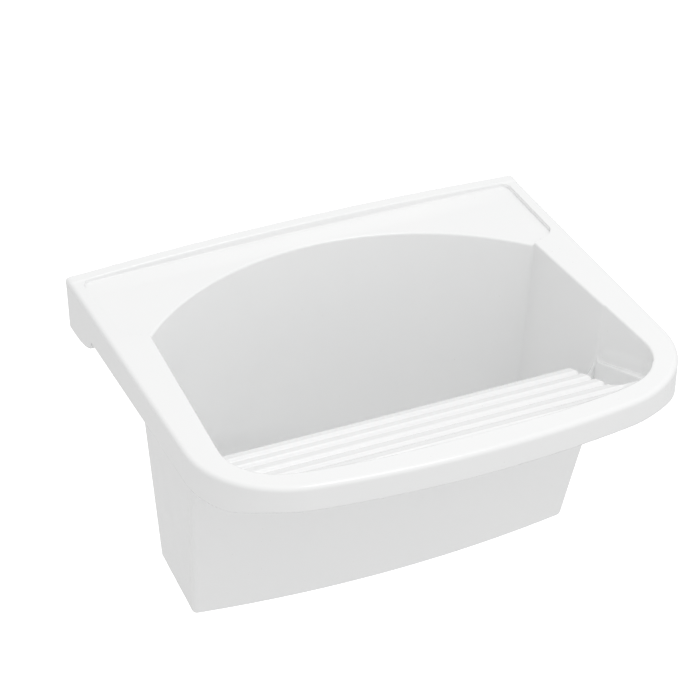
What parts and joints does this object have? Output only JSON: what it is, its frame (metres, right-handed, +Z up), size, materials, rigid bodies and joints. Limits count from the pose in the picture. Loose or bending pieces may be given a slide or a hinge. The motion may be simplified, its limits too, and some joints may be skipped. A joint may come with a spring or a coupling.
{
  "type": "utility laundry sink",
  "caption": "Wall-hung glazed china laundry basin with a deep bowl, a sloping ridged washboard, a soap well, a plug waste and wall fixings.",
  "frame": {"origin": "on the wall face of the basin, midway between its sides, at the level of the top of the rim", "axes": "+Z up; +Y points into the wall, -Y towards the user; +X to the user's right when facing the wall"},
  "size_m": [0.6085, 0.574, 0.4145],
  "materials": {
    "china": "glossy white glaze",
    "chrome": "polished",
    "steel": "bright zinc",
    "rubber": "matt black",
    "white_plastic": "moulded, satin",
    "nylon": "natural nylon"
  },
  "bodies": {
    "basin": {"basin_body": "china", "waste_body": "chrome", "flange_gasket": "rubber", "waste_grate": "chrome", "under_gasket": "rubber", "slip_washer": "white_plastic", "back_nut": "white_plastic", "tail_seal": "rubber", "tail_nut": "white_plastic", "tail_pipe": "white_plastic", "wall_screw_left": "steel", "screw_bush_left": "nylon", "screw_washer_left": "steel", "screw_cap_left": "white_plastic", "wall_screw_right": "steel", "screw_bush_right": "nylon", "screw_washer_right": "steel", "screw_cap_right": "white_plastic"},
    "plug": {"plug": "rubber", "plug_staple": "chrome"},
    "ring": {"pull_ring": "chrome"}
  },
  "joints": [
    {"name": "plug_lift", "type": "slide", "parent": "basin", "child": "plug", "axis": [0, 0, 1], "range_m": [0, 0.12]},
    {"name": "ring_tilt", "type": "hinge", "parent": "plug", "child": "ring", "pos_m": [0, -0.165, -0.322], "axis": [-1, 0, 0], "range_deg": [0, 170]}
  ]
}
